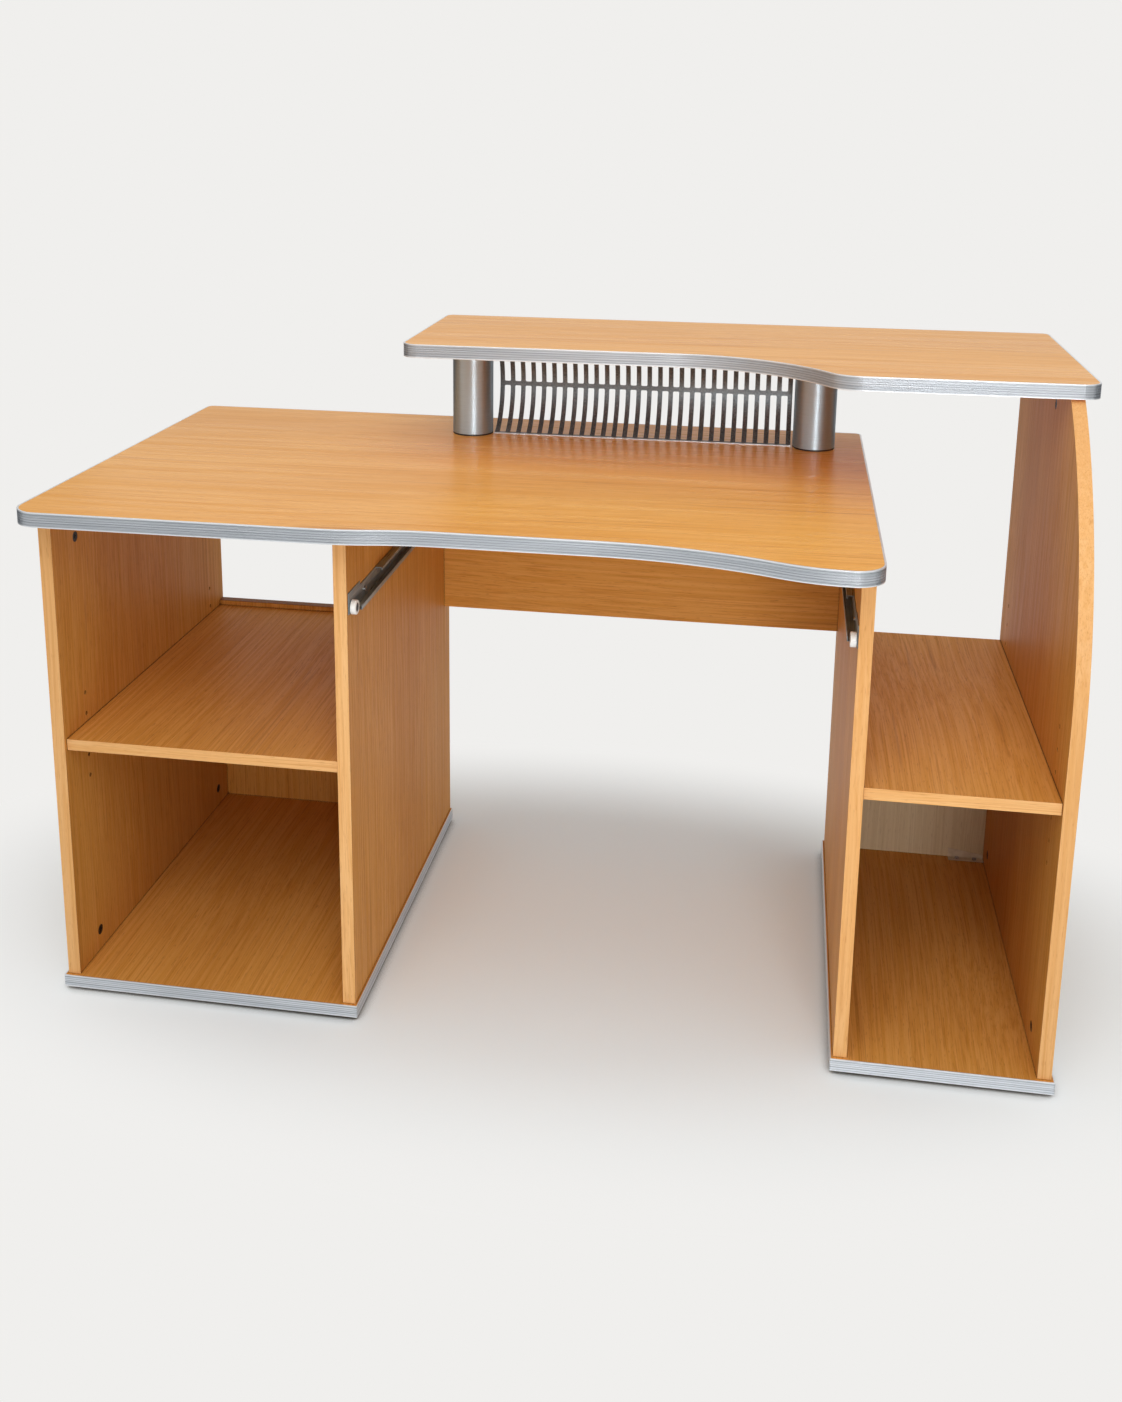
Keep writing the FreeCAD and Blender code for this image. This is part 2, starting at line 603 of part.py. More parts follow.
# Keyboard tray runners on the kneehole faces of the inner panels
runner_low = worktop_under - runner_drop - runner_height
runner_front = panel_front + runner_front_inset
runner_screws = []
for side, face_x, into_room in (("left", left_inner_x + board_thickness, 1), ("right", right_inner_x, -1)):
    def runner_point(depth, along, rise):
        return Vector(face_x + into_room * depth, runner_front + along, runner_low + rise)

    def runner_block(near, far):
        low = runner_point(*near)
        high = runner_point(*far)
        return block(Vector(min(low.x, high.x), low.y, low.z), Vector(max(low.x, high.x), high.y, high.z))

    lip_inside = runner_depth - runner_sheet
    hook_inside = runner_top_depth - runner_sheet
    roof = runner_height - runner_sheet
    hook_low = runner_height - runner_high_lip
    section = (
        (0, 0), (runner_depth, 0), (runner_depth, runner_low_lip), (lip_inside, runner_low_lip),
        (lip_inside, runner_sheet), (runner_sheet, runner_sheet), (runner_sheet, roof), (hook_inside, roof),
        (hook_inside, hook_low), (runner_top_depth, hook_low), (runner_top_depth, runner_height),
        (0, runner_height), (0, 0),
    )
    corners = [runner_point(depth, 0, rise) for depth, rise in section]
    channel = Part.Face(Part.makePolygon(corners)).extrude(Vector(0, runner_length, 0))
    roller_room = roller_setback + roller_radius + roller_floor_gap
    channel = channel.cut([
        runner_block((runner_sheet, -overrun, hook_low - overrun),
                     (runner_depth + overrun, runner_open_length, runner_height + overrun)),
        runner_block((runner_sheet, -overrun, -overrun),
                     (runner_depth + overrun, roller_room, runner_low_lip + overrun)),
    ])
    plate = runner_block((0, 0, 0), (runner_sheet, runner_plate_length, runner_height + runner_plate_rise))
    channel = channel.fuse(plate).removeSplitter()

    axle = runner_point(0, roller_setback, roller_rise)
    inward = Vector(into_room, 0, 0)
    roller_start = axle + inward * (runner_sheet + roller_side_gap)
    roller = Part.makeCylinder(roller_radius, roller_width, roller_start, inward)
    roller = roller.makeFillet(roller_edge_radius, roller.Edges[0:1] + roller.Edges[2:3])
    bore = Part.makeCylinder(roller_pin_radius + roller_pin_clearance, roller_width, roller_start, inward)
    recess_start = roller_start + inward * (roller_width - roller_head_recess)
    recess = Part.makeCylinder(roller_head_radius + roller_side_gap, roller_head_recess, recess_start, inward)
    nodes[side + "_runner_roller"] = roller.cut([bore, recess])

    pin_length = runner_sheet + roller_side_gap + roller_width - roller_head_recess + roller_side_gap
    pin = Part.makeCylinder(roller_pin_radius, pin_length + roller_head_thickness, axle, inward)
    head = Part.makeCylinder(roller_head_radius, roller_head_thickness, axle + inward * pin_length, inward)
    nodes[side + "_roller_pin"] = pin.fuse(head).removeSplitter()
    holes = [Part.makeCylinder(roller_pin_radius, runner_sheet, axle, inward)]
    for share in runner_screw_shares:
        seat = runner_point(runner_sheet, share * runner_length, runner_height / 2)
        runner_screws.append(pan_screw(seat, -inward))
        shank_hole = Part.makeCylinder(screw_radius + hole_clearance, screw_length + hole_clearance, seat,
                                       -inward)
        holes.append(shank_hole)
        drill(side + "_inner_panel", shank_hole)
    nodes[side + "_runner_channel"] = channel.cut(holes)
nodes["runner_screws"] = Part.makeCompound(runner_screws)

# Loose shelves with a wood strip on the front edge, lying on flat-topped pegs
shelves = (
    ("left", left_outer_x + board_thickness, left_inner_x, left_shelf_top, back_panel_front - shelf_back_gap),
    ("right", right_inner_x + board_thickness, tall_x, right_shelf_top, panel_back - right_shelf_back_inset),
)
for side, low_x, high_x, top, rear in shelves:
    under = top - shelf_thickness
    front = panel_front + shelf_front_inset
    seam = front + edging_thickness
    low = Vector(low_x + shelf_side_gap, seam, under)
    high = Vector(high_x - shelf_side_gap, rear, top)
    nodes[side + "_shelf_board"] = block(low, high)
    nodes[side + "_shelf_edging"] = block(Vector(low.x, front, under), Vector(high.x, seam, top))
    pegs = []
    for face_x, facing in ((low_x, 1), (high_x, -1)):
        for y in (fastener_front, fastener_back):
            root = Vector(face_x - facing * peg_shank_length, y, under - peg_radius)
            shank = Part.makeCylinder(peg_radius, peg_shank_length, root, Vector(facing, 0, 0))
            ends = sorted((face_x, face_x + facing * peg_paddle_length))
            paddle = block(Vector(ends[0], y - peg_paddle_width / 2, under - peg_paddle_thickness),
                           Vector(ends[1], y + peg_paddle_width / 2, under))
            pegs.append(shank.fuse(paddle).removeSplitter())
    nodes[side + "_shelf_pegs"] = Part.makeCompound(pegs)

# Upright panels with their wood front strips
for panel, x, facing, base in uprights[:-1]:
    whole = straight_slab(x, 0)
    board = straight_slab(x, edging_thickness)
    nodes[panel + "_edging"] = whole.cut(board)
    drilled(panel, board)
nodes["right_tall_panel_edging"] = tall_slab(0).cut(tall_slab(edging_thickness))
drilled("right_tall_panel", tall_slab(edging_thickness))

# Worktop and monitor shelf
worktop_sweeps = ((worktop_step_shares, worktop_scoop_depth, worktop_step_first_share),
                  (worktop_sweep_shares, worktop_right_depth, worktop_sweep_first_share))
worktop = top_outline(left_end, worktop_width, worktop_left_depth, worktop_sweeps,
                      worktop_front_radius, worktop_back_radius)
banded_top("worktop", worktop, worktop_under, worktop_thickness)
monitor_sweeps = ((monitor_sweep_shares, monitor_shelf_right_depth, monitor_sweep_first_share),)
monitor_shelf = top_outline(monitor_left, monitor_shelf_width, monitor_shelf_left_depth, monitor_sweeps,
                            monitor_front_radius, monitor_back_radius)
banded_top("monitor_shelf", monitor_shelf, monitor_under, monitor_shelf_thickness)

nodes["cam_locks"] = Part.makeCompound(cam_locks)
nodes["cam_bolts"] = Part.makeCompound(cam_bolts)
nodes["wood_dowels"] = Part.makeCompound(wood_dowels)

os.makedirs("parts", exist_ok=True)
for name, shape in nodes.items():
    print(name, len(shape.Solids), shape.isValid(), round(shape.Volume))
    shape.exportStep("parts/" + name + ".step")
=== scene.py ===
import math

import bpy
from mathutils import Euler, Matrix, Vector

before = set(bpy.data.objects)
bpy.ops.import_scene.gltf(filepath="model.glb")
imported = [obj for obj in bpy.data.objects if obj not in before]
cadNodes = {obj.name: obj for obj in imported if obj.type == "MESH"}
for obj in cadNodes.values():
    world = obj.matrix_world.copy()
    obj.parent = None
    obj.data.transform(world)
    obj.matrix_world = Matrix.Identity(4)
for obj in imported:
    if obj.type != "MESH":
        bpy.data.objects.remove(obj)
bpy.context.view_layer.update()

# Computer desk in beech-effect laminate, dressed over its CAD frame. Metres, X along the desk, Y to the back.
print("frame loaded:", len(cadNodes), "nodes")


# Node helpers

def startMaterial(name):
    material = bpy.data.materials.new(name)
    material.use_nodes = True
    tree = material.node_tree
    tree.nodes.clear()
    output = tree.nodes.new("ShaderNodeOutputMaterial")
    shader = tree.nodes.new("ShaderNodeBsdfPrincipled")
    tree.links.new(shader.outputs["BSDF"], output.inputs["Surface"])
    return material, tree, shader


def feed(tree, socket, value):      # a socket is linked, anything else is typed in
    if isinstance(value, bpy.types.NodeSocket):
        tree.links.new(value, socket)
    else:
        socket.default_value = value


def maths(tree, operation, first, second=0.0):
    node = tree.nodes.new("ShaderNodeMath")
    node.operation = operation
    feed(tree, node.inputs[0], first)
    feed(tree, node.inputs[1], second)
    return node.outputs["Value"]


def vectorMaths(tree, operation, first, second):
    node = tree.nodes.new("ShaderNodeVectorMath")
    node.operation = operation
    feed(tree, node.inputs[0], first)
    feed(tree, node.inputs[1], second)
    return node.outputs["Vector"]


def objectPlace(tree):      # metres in the shared frame
    return tree.nodes.new("ShaderNodeTexCoord").outputs["Object"]


def noise(tree, place, stretch, detail=2.0, roughness=0.5):     # stretch is cycles per metre along X, Y, Z
    node = tree.nodes.new("ShaderNodeTexNoise")
    feed(tree, node.inputs["Vector"], vectorMaths(tree, "MULTIPLY", place, stretch))
    feed(tree, node.inputs["Scale"], 1.0)
    feed(tree, node.inputs["Detail"], detail)
    feed(tree, node.inputs["Roughness"], roughness)
    return node.outputs["Fac"]


def remap(tree, value, low, high, newLow=0.0, newHigh=1.0, kind="SMOOTHSTEP"):
    node = tree.nodes.new("ShaderNodeMapRange")
    node.interpolation_type = kind
    for key, number in (("From Min", low), ("From Max", high), ("To Min", newLow), ("To Max", newHigh)):
        feed(tree, node.inputs[key], number)
    feed(tree, node.inputs["Value"], value)
    return node.outputs["Result"]


def blendColour(tree, factor, first, second):
    node = tree.nodes.new("ShaderNodeMix")
    node.data_type = "RGBA"
    feed(tree, node.inputs["Factor"], factor)
    feed(tree, node.inputs["A"], first)
    feed(tree, node.inputs["B"], second)
    return node.outputs["Result"]


def aboveLevel(tree, level, softness=0.0004):       # 0 below that height in metres, 1 above it
    split = tree.nodes.new("ShaderNodeSeparateXYZ")
    tree.links.new(objectPlace(tree), split.inputs["Vector"])
    return remap(tree, split.outputs["Z"], level - softness, level + softness)


def heights(name):      # lowest and highest point of a CAD node
    levels = [corner[2] for corner in cadNodes[name].bound_box]
    return min(levels), max(levels)


def openness(tree, reach, alone=False, samples=4):      # 1 in the open, towards 0 deep in a seam
    node = tree.nodes.new("ShaderNodeAmbientOcclusion")
    node.samples = samples
    node.only_local = alone     # only the node's own mesh counts
    feed(tree, node.inputs["Distance"], reach)
    return node.outputs["AO"]


def bump(tree, shader, height, distance, strength):
    node = tree.nodes.new("ShaderNodeBump")
    feed(tree, node.inputs["Height"], height)
    feed(tree, node.inputs["Distance"], distance)
    feed(tree, node.inputs["Strength"], strength)
    tree.links.new(node.outputs["Normal"], shader.inputs["Normal"])


def colour(red, green, blue):       # sRGB bytes to a linear colour
    def linear(byte):
        share = byte / 255
        return share / 12.92 if share <= 0.04045 else ((share + 0.055) / 1.055) ** 2.4
    return (linear(red), linear(green), linear(blue), 1.0)


# Beech-effect melamine

beech = {       # along and across are cycles per metre; a layer fades in over its range of the noise
    "pale": colour(244, 181, 99),
    "body": colour(234, 166, 78),
    "deep": colour(210, 137, 55),
    "line": colour(174, 104, 40),
    "driftAlong": 1.3, "driftAcross": 3.5, "driftSize": 0.05,       # slow sideways wander of the grain
    "plankAlong": 0.8, "plankAcross": 6.0, "plankRange": (0.35, 0.75), "plankShare": 0.30,
    "streakAlong": 2.2, "streakAcross": 210.0, "streakRange": (0.34, 0.68),
    "hairAlong": 4.0, "hairAcross": 640.0, "hairRange": (0.48, 0.72), "hairShare": 0.60,
    "lineAlong": 0.9, "lineAcross": 60.0, "lineRange": (0.60, 0.74), "lineShare": 0.42,
    "fleckAlong": 60.0, "fleckAcross": 900.0, "fleckRange": (0.62, 0.74), "fleckShare": 0.42,
    "roughRange": (0.3, 0.7), "roughLow": 0.26, "roughHigh": 0.34,
    "shine": 0.085,
    "hairBump": 0.6, "fleckBump": 0.4, "bumpSize": 0.0001, "bumpStrength": 0.5,
    "seedSpread": (1.0, 0.37, 0.71),        # each seed cuts its boards from another place in the wood
}


def grainStretch(axis, along, across):
    stretch = [across, across, across]
    stretch[axis] = along
    return stretch


def beechLaminate(name, axis, look, seed):      # axis 0, 1 or 2 is the way the grain runs
    material, tree, shader = startMaterial(name)
    place = vectorMaths(tree, "ADD", objectPlace(tree), [seed * share for share in look["seedSpread"]])

    wander = noise(tree, place, grainStretch(axis, look["driftAlong"], look["driftAcross"]), 1.0)
    shift = maths(tree, "MULTIPLY", maths(tree, "SUBTRACT", wander, 0.5), look["driftSize"])
    sideways = [1.0, 1.0, 1.0]
    sideways[axis] = 0.0
    place = vectorMaths(tree, "ADD", place, vectorMaths(tree, "MULTIPLY", sideways, shift))

    plank = noise(tree, place, grainStretch(axis, look["plankAlong"], look["plankAcross"]), 1.0)
    streakStretch = grainStretch(axis, look["streakAlong"], look["streakAcross"])
    streak = noise(tree, place, streakStretch, detail=4.0, roughness=0.6)
    hair = noise(tree, place, grainStretch(axis, look["hairAlong"], look["hairAcross"]), 2.0)
    lineStretch = grainStretch(axis, look["lineAlong"], look["lineAcross"])
    line = noise(tree, place, lineStretch, detail=3.0, roughness=0.7)
    fleck = noise(tree, place, grainStretch(axis, look["fleckAlong"], look["fleckAcross"]), 1.0)

    shade = blendColour(tree, remap(tree, streak, *look["streakRange"]), look["pale"], look["body"])
    layers = {"plank": (plank, "deep"), "hair": (hair, "deep"),
              "line": (line, "line"), "fleck": (fleck, "line")}     # each with the tone that it adds
    for layer, (pattern, tone) in layers.items():
        share = remap(tree, pattern, *look[layer + "Range"], 0.0, look[layer + "Share"])
        shade = blendColour(tree, share, shade, look[tone])
    if "paintedShade" in look:         # painted shade in seams and bores, from ambient occlusion
        seam = openness(tree, look["shadeReach"])
        shade = blendColour(tree, remap(tree, seam, *look["seamRange"]), look["paintedShade"], shade)
        bore = openness(tree, look["shadeReach"], alone=True)
        shade = blendColour(tree, remap(tree, bore, *look["boreRange"]), look["paintedShade"], shade)
    if "shadeLevel" in look:        # painted shade on the top edge, in a speckled chipboard tone
        chips = noise(tree, place, look["speckleGrain"], 3.0)
        topShade = blendColour(tree, remap(tree, chips, *look["speckleRange"]), look["topShadeTone"], look["line"])
        shade = blendColour(tree, aboveLevel(tree, look["shadeLevel"]), shade, topShade)
    tree.links.new(shade, shader.inputs["Base Color"])
    shader.inputs["Specular IOR Level"].default_value = look["shine"]

    sheen = remap(tree, streak, *look["roughRange"], look["roughLow"], look["roughHigh"])
    tree.links.new(sheen, shader.inputs["Roughness"])
    hairPores = maths(tree, "MULTIPLY", hair, look["hairBump"])
    fleckPores = maths(tree, "MULTIPLY", fleck, look["fleckBump"])
    bump(tree, shader, maths(tree, "ADD", hairPores, fleckPores), look["bumpSize"], look["bumpStrength"])
    return material


topBeech = dict(beech, streakAlong=1.5, streakAcross=85.0, lineAcross=46.0, lineShare=0.5)     # broader grain
beechTop = beechLaminate("beechTop", 0, topBeech, seed=1.7)

# the carcass lays a dark tone of painted shade into its seams and bores
carcassBeech = dict(beech, pale=colour(220, 158, 82), body=colour(208, 144, 64), deep=colour(182, 115, 42),
                    line=colour(145, 83, 25), roughLow=0.44, roughHigh=0.56, shine=0.11,
                    paintedShade=colour(58, 34, 14), shadeReach=0.005, seamRange=(0.3, 0.75), boreRange=(0.6, 0.95))
beechUpright = beechLaminate("beechUpright", 2, carcassBeech, seed=4.1)
beechCross = beechLaminate("beechCross", 0, carcassBeech, seed=7.3)
beechShelf = beechLaminate("beechShelf", 1, carcassBeech, seed=2.9)

shadedStrip = 0.0009       # height of the painted shade strip along the panel's top edge
shadedEdge = dict(carcassBeech, shadeLevel=heights("left_back_panel")[1] - shadedStrip, topShadeTone=colour(128, 98, 70),
               speckleGrain=(260.0, 260.0, 260.0), speckleRange=(0.35, 0.65))
beechShadedEdge = beechLaminate("beechShadedEdge", 2, shadedEdge, seed=4.1)

edging = dict(beech, pale=colour(238, 186, 126), body=colour(230, 172, 107), deep=colour(213, 149, 85),
              line=colour(190, 124, 66), roughLow=0.30, roughHigh=0.40)
edgingUpright = beechLaminate("edgingUpright", 2, edging, seed=5.2)
edgingLevel = beechLaminate("edgingLevel", 0, edging, seed=6.4)

backing = dict(beech, pale=colour(228, 212, 176), body=colour(219, 201, 162), deep=colour(204, 184, 146),
               line=colour(180, 157, 120), roughLow=0.55, roughHigh=0.7, shine=0.2)
greyBoard = beechLaminate("greyBoard", 2, backing, seed=8.8)

dowelWood = dict(beech, pale=colour(222, 194, 150), body=colour(208, 176, 130), deep=colour(190, 156, 110),
                 line=colour(160, 124, 84), roughLow=0.6, roughHigh=0.75)
dowelBeech = beechLaminate("dowelBeech", 2, dowelWood, seed=3.3)
print("laminates ready")


# Metals and plastics

metalGrain = {
    "scratchRange": (0.3, 0.7), "cloudRange": (0.45, 0.75),
    "scratchGrit": 0.7, "cloudGrit": 0.3, "gritRange": (0.3, 0.7),      # what roughens the surface
    "bumpStrength": 0.4,
    "highlightTurn": 0.25,      # of a full turn, so that highlights run up a round post
}
bandRibs = {        # in ribs, counted up the band
    "count": 6,
    "grooveRange": (0.08, 0.22), "grooveShare": 0.55,
    "lipWidth": 0.5, "lipSolid": 0.3, "lipShare": 0.75,
}


def brushedMetal(name, look):
    material, tree, shader = startMaterial(name)
    place = objectPlace(tree)
    scratch = noise(tree, place, look["scratchStretch"], detail=3.0, roughness=0.6)
    cloud = noise(tree, place, look["cloudStretch"], 2.0)
    tone = blendColour(tree, remap(tree, scratch, *metalGrain["scratchRange"]), look["dark"], look["bright"])
    cloudShare = remap(tree, cloud, *metalGrain["cloudRange"], 0.0, look["cloudShare"])
    tone = blendColour(tree, cloudShare, tone, look["dark"])
    if "ribSpan" in look:       # painted shade in the grooves between the ribs and painted highlights along both edges
        low, high = look["ribSpan"]
        height = tree.nodes.new("ShaderNodeSeparateXYZ")
        tree.links.new(place, height.inputs["Vector"])
        level = remap(tree, height.outputs["Z"], low, high, 0.0, bandRibs["count"], "LINEAR")
        fromGroove = maths(tree, "PINGPONG", level, 0.5)        # 0 in a groove, a half on top of a rib
        groove = remap(tree, fromGroove, *bandRibs["grooveRange"], bandRibs["grooveShare"], 0.0)
        tone = blendColour(tree, groove, tone, look["groove"])
        middle = bandRibs["count"] / 2
        fromMiddle = maths(tree, "ABSOLUTE", maths(tree, "SUBTRACT", level, middle))
        lipStart, lipFull = middle - bandRibs["lipWidth"], middle - bandRibs["lipSolid"]
        lipHighlight = remap(tree, fromMiddle, lipStart, lipFull, 0.0, bandRibs["lipShare"])
        tone = blendColour(tree, lipHighlight, tone, look["lipHighlight"])
    if "highlightBelow" in look:     # painted highlight along the foot
        tone = blendColour(tree, aboveLevel(tree, look["highlightBelow"]), look["footHighlight"], tone)
    tree.links.new(tone, shader.inputs["Base Color"])
    shader.inputs["Metallic"].default_value = look["metallic"]
    scratchGrit = maths(tree, "MULTIPLY", scratch, metalGrain["scratchGrit"])
    cloudGrit = maths(tree, "MULTIPLY", cloud, metalGrain["cloudGrit"])
    grit = maths(tree, "ADD", scratchGrit, cloudGrit)
    gloss = remap(tree, grit, *metalGrain["gritRange"], look["roughLow"], look["roughHigh"])
    tree.links.new(gloss, shader.inputs["Roughness"])
    if "radial" in look:        # brushed round a post, with darker glancing reflections
        shader.inputs["Specular Tint"].default_value = (look["edgeTint"],) * 3 + (1.0,)
        shader.inputs["Anisotropic"].default_value = look["radial"]
        shader.inputs["Anisotropic Rotation"].default_value = metalGrain["highlightTurn"]
        around = tree.nodes.new("ShaderNodeTangent")
        around.direction_type = "RADIAL"
        around.axis = "Z"
        tree.links.new(around.outputs["Tangent"], shader.inputs["Tangent"])
    bump(tree, shader, scratch, look["bumpSize"], metalGrain["bumpStrength"])
    return material


# the groove tone is painted shade and the lip tone a painted highlight
silver = {
    "bright": colour(195, 199, 204), "dark": colour(165, 170, 176), "metallic": 0.6,
    "groove": colour(112, 117, 124), "lipHighlight": colour(240, 242, 244),
    "scratchStretch": (6.0, 6.0, 900.0), "cloudStretch": (5.0, 5.0, 5.0), "cloudShare": 0.3,
    "roughLow": 0.30, "roughHigh": 0.42, "bumpSize": 0.00004,
}
baseSilver = dict(silver, bright=colour(224, 228, 233), dark=colour(198, 203, 209))


def silverBand(name, look=silver):      # the ribs follow the height of the band in the frame
    return brushedMetal(name + "Silver", dict(look, ribSpan=heights(name)))


brushedPost = brushedMetal("brushedPost", {
    "bright": colour(189, 204, 213), "dark": colour(175, 190, 199), "metallic": 0.85, "edgeTint": 0.3,
    "scratchStretch": (30.0, 30.0, 2400.0), "cloudStretch": (30.0, 30.0, 6.0), "cloudShare": 0.2,
    "roughLow": 0.40, "roughHigh": 0.46, "bumpSize": 0.00002, "radial": 0.7,
})
grilleFoot = 0.0014     # height of the painted highlight strip along the grille's foot
grilleMetal = brushedMetal("grilleMetal", {
    "bright": colour(126, 133, 137), "dark": colour(86, 93, 97), "metallic": 0.65,
    "highlightBelow": heights("cable_grille")[0] + grilleFoot, "footHighlight": colour(232, 234, 236),
    "scratchStretch": (420.0, 420.0, 420.0), "cloudStretch": (9.0, 9.0, 9.0), "cloudShare": 0.35,
    "roughLow": 0.36, "roughHigh": 0.5, "bumpSize": 0.00003,
})
zincSteel = brushedMetal("zincSteel", {
    "bright": colour(156, 168, 173), "dark": colour(98, 110, 115), "metallic": 0.35,
    "scratchStretch": (700.0, 12.0, 700.0), "cloudStretch": (60.0, 24.0, 60.0), "cloudShare": 0.5,
    "roughLow": 0.26, "roughHigh": 0.42, "bumpSize": 0.00003,
})
fastenerSteel = brushedMetal("fastenerSteel", {
    "bright": colour(204, 203, 200), "dark": colour(150, 149, 147), "metallic": 1.0,
    "scratchStretch": (900.0, 900.0, 900.0), "cloudStretch": (160.0, 160.0, 160.0), "cloudShare": 0.4,
    "roughLow": 0.22, "roughHigh": 0.38, "bumpSize": 0.00003,
})
camZinc = brushedMetal("camZinc", {
    "bright": colour(74, 68, 62), "dark": colour(40, 36, 32), "metallic": 0.85,
    "scratchStretch": (800.0, 800.0, 800.0), "cloudStretch": (200.0, 200.0, 200.0), "cloudShare": 0.5,
    "roughLow": 0.40, "roughHigh": 0.6, "bumpSize": 0.00005,
})
blackSteel = brushedMetal("blackSteel", {
    "bright": colour(30, 30, 31), "dark": colour(16, 16, 17), "metallic": 0.6,
    "scratchStretch": (800.0, 800.0, 800.0), "cloudStretch": (200.0, 200.0, 200.0), "cloudShare": 0.5,
    "roughLow": 0.34, "roughHigh": 0.5, "bumpSize": 0.00003,
})


plasticGrain = {"toneRange": (0.3, 0.7), "roughRange": (0.3, 0.7), "bumpStrength": 0.5}


def mouldedPlastic(name, look):
    material, tree, shader = startMaterial(name)
    place = objectPlace(tree)
    grain = noise(tree, place, (look["grain"],) * 3, 2.0)
    cloud = noise(tree, place, (look["cloud"],) * 3, 2.0)
    tone = blendColour(tree, remap(tree, cloud, *plasticGrain["toneRange"]), look["dark"], look["bright"])
    tree.links.new(tone, shader.inputs["Base Color"])
    gloss = remap(tree, grain, *plasticGrain["roughRange"], look["roughLow"], look["roughHigh"])
    tree.links.new(gloss, shader.inputs["Roughness"])
    bump(tree, shader, grain, look["bumpSize"], plasticGrain["bumpStrength"])
    return material


blackPlastic = mouldedPlastic("blackPlastic", {
    "bright": colour(34, 34, 35), "dark": colour(20, 20, 21), "grain": 1600.0, "cloud": 40.0,
    "roughLow": 0.38, "roughHigh": 0.55, "bumpSize": 0.00005,
})
whiteNylon = mouldedPlastic("whiteNylon", {
    "bright": colour(250, 250, 247), "dark": colour(238, 237, 233), "grain": 1200.0, "cloud": 120.0,
    "roughLow": 0.28, "roughHigh": 0.42, "bumpSize": 0.00004,
})
creamPaint = mouldedPlastic("creamPaint", {
    "bright": colour(226, 212, 186), "dark": colour(206, 191, 164), "grain": 900.0, "cloud": 60.0,
    "roughLow": 0.36, "roughHigh": 0.5, "bumpSize": 0.00004,
})
print("metals and plastics ready")


# Finish of every CAD node, with the softened edge it gets

edges = {
    "sharp": 0.0, "fine": 0.0002, "soft": 0.0003, "round": 0.0004,      # bevel widths in metres
    "steps": 2, "sharpAngle": 40.0,     # edges that turn by more degrees than this are rounded
    "weldReach": 0.00001,
}
finishes = {
    "worktop_board": (beechTop, "sharp"),
    "monitor_shelf_board": (beechTop, "sharp"),
    "modesty_panel": (beechCross, "soft"),
    "right_back_panel": (greyBoard, "soft"),
    "left_back_panel": (beechShadedEdge, "soft"),
    "cable_grille": (grilleMetal, "sharp"),
    "back_bracket": (creamPaint, "fine"),
    "bracket_screws": (fastenerSteel, "sharp"),
    "cam_locks": (camZinc, "fine"),
    "cam_bolts": (fastenerSteel, "sharp"),
    "wood_dowels": (dowelBeech, "sharp"),
    "grille_screws": (fastenerSteel, "sharp"),
    "runner_screws": (fastenerSteel, "soft"),
}
for side in ("left", "right"):
    finishes[side + "_shelf_board"] = (beechShelf, "soft")
    finishes[side + "_shelf_edging"] = (edgingLevel, "soft")
    finishes[side + "_base_board"] = (beechShelf, "sharp")
    finishes[side + "_base_edge_band"] = (silverBand(side + "_base_edge_band", baseSilver), "fine")
    finishes[side + "_base_glides"] = (blackPlastic, "sharp")
    finishes[side + "_shelf_pegs"] = (fastenerSteel, "soft")
    finishes[side + "_post_tube"] = (brushedPost, "sharp")
    finishes[side + "_post_foot_cap"] = (blackPlastic, "sharp")
    finishes[side + "_post_top_cap"] = (blackPlastic, "sharp")
    finishes[side + "_post_rod"] = (fastenerSteel, "sharp")
    finishes[side + "_post_nut"] = (fastenerSteel, "sharp")
    finishes[side + "_runner_channel"] = (zincSteel, "round")
    finishes[side + "_runner_roller"] = (whiteNylon, "sharp")
    finishes[side + "_roller_pin"] = (blackSteel, "sharp")
for panel in ("left_outer_panel", "left_inner_panel", "right_inner_panel", "right_tall_panel"):
    finishes[panel] = (beechUpright, "sharp")
    finishes[panel + "_edging"] = (edgingUpright, "soft")
for top in ("worktop", "monitor_shelf"):
    finishes[top + "_edge_band"] = (silverBand(top + "_edge_band"), "fine")


def softenEdges(thing, width):      # melts the doubled corners together, then rounds the sharp edges
    weld = thing.modifiers.new("weld", "WELD")
    weld.merge_threshold = edges["weldReach"]
    rounding = thing.modifiers.new("rounding", "BEVEL")
    rounding.width = width
    rounding.segments = edges["steps"]
    rounding.limit_method = "ANGLE"
    rounding.angle_limit = math.radians(edges["sharpAngle"])
    rounding.use_clamp_overlap = True
    normals = thing.modifiers.new("normals", "WEIGHTED_NORMAL")
    normals.keep_sharp = True


for name, thing in cadNodes.items():
    material, edge = finishes[name]
    thing.data.materials.clear()
    thing.data.materials.append(material)
    if edges[edge] > 0:
        softenEdges(thing, edges[edge])
print("finishes set on", len(finishes), "nodes")


# Floor and studio

studio = {
    "background": colour(240, 239, 237),
    "floor": colour(242, 250, 253),
    "contactShade": colour(84, 80, 76),      # painted contact shadow, a dark line where the bases nearly meet the floor
    "contactReach": 0.03, "contactRange": (0.05, 0.75),
    "floorRadius": 9.0, "floorSides": 96, "floorRough": 0.85, "floorShine": 0.1,
    "fadeStretch": (1.0, 1.75, 1.0), "fadeCentre": (0.0, 0.09, 0.0),        # oval round the desk, where the
    "fadeStart": 0.55, "fadeEnd": 1.15,                                     # floor melts into the background
    "domeStrength": 0.50,
    "domeColour": (1.0, 0.995, 0.99, 1.0),
}


def seenDirectly(tree):     # 1 where the eye, a reflection or a clear thing looks at the backdrop
    path = tree.nodes.new("ShaderNodeLightPath")
    seen = maths(tree, "MAXIMUM", path.outputs["Is Camera Ray"], path.outputs["Is Glossy Ray"])
    return maths(tree, "MAXIMUM", seen, path.outputs["Is Transmission Ray"])


